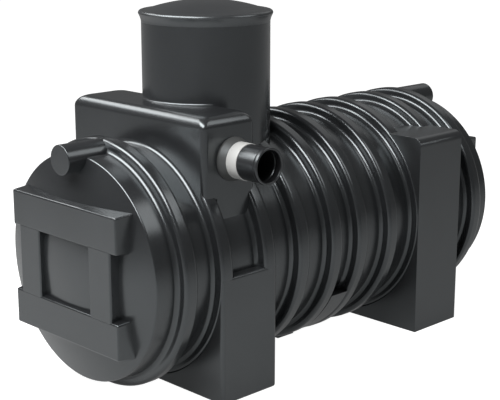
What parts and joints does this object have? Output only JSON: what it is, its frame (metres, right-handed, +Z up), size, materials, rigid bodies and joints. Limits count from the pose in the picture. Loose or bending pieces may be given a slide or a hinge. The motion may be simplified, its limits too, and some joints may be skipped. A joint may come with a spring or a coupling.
{
  "type": "underground rainwater tank",
  "caption": "Horizontal ribbed cylindrical rainwater tank with moulded saddle feet, a square inlet chamber, a round access neck with a lid and a side inlet pipe.",
  "frame": {"origin": "on the ground under the middle of the barrel, at the flat underside of the belly pad", "axes": "+X along the barrel from the inlet end to the plain end, +Z up, -Y the side with the inlet pipe"},
  "size_m": [2.516, 1.252, 1.713],
  "materials": {
    "tank_shell": "satin black polyethylene",
    "tank_base": "satin black polyethylene",
    "lid": "satin black polyethylene",
    "pipe": "gloss black pipe",
    "white_collar": "white plastic",
    "seal": "grey rubber"
  },
  "bodies": {
    "root": {"band_01": "tank_shell", "band_02": "tank_shell", "band_03": "tank_shell", "band_04": "tank_shell", "band_05": "tank_shell", "band_06": "tank_shell", "band_07": "tank_shell", "band_08": "tank_shell", "band_09": "tank_shell", "belly_pad": "tank_base", "front_dome": "tank_shell", "front_end_band": "tank_shell", "front_foot_far": "tank_base", "front_foot_near": "tank_base", "front_ledges": "tank_shell", "front_posts": "tank_shell", "front_stub": "tank_shell", "hoop_01": "tank_shell", "hoop_02": "tank_shell", "hoop_03": "tank_shell", "hoop_04": "tank_shell", "hoop_05": "tank_shell", "hoop_06": "tank_shell", "hoop_07": "tank_shell", "hoop_08": "tank_shell", "hoop_09": "tank_shell", "hoop_10": "tank_shell", "inlet_seal": "seal", "inlet_socket": "white_collar", "inlet_spigot": "pipe", "lid": "lid", "neck": "tank_shell", "rear_dome": "tank_shell", "rear_end_band": "tank_shell", "rear_foot_far": "tank_base", "rear_foot_near": "tank_base", "rear_ledges": "tank_shell", "rear_posts": "tank_shell", "rear_stub": "tank_shell", "turret_back_far": "tank_shell", "turret_back_near": "tank_shell", "turret_front": "tank_shell", "turret_side_far": "tank_shell", "turret_side_near": "tank_shell", "turret_top": "tank_shell"}
  },
  "joints": []
}
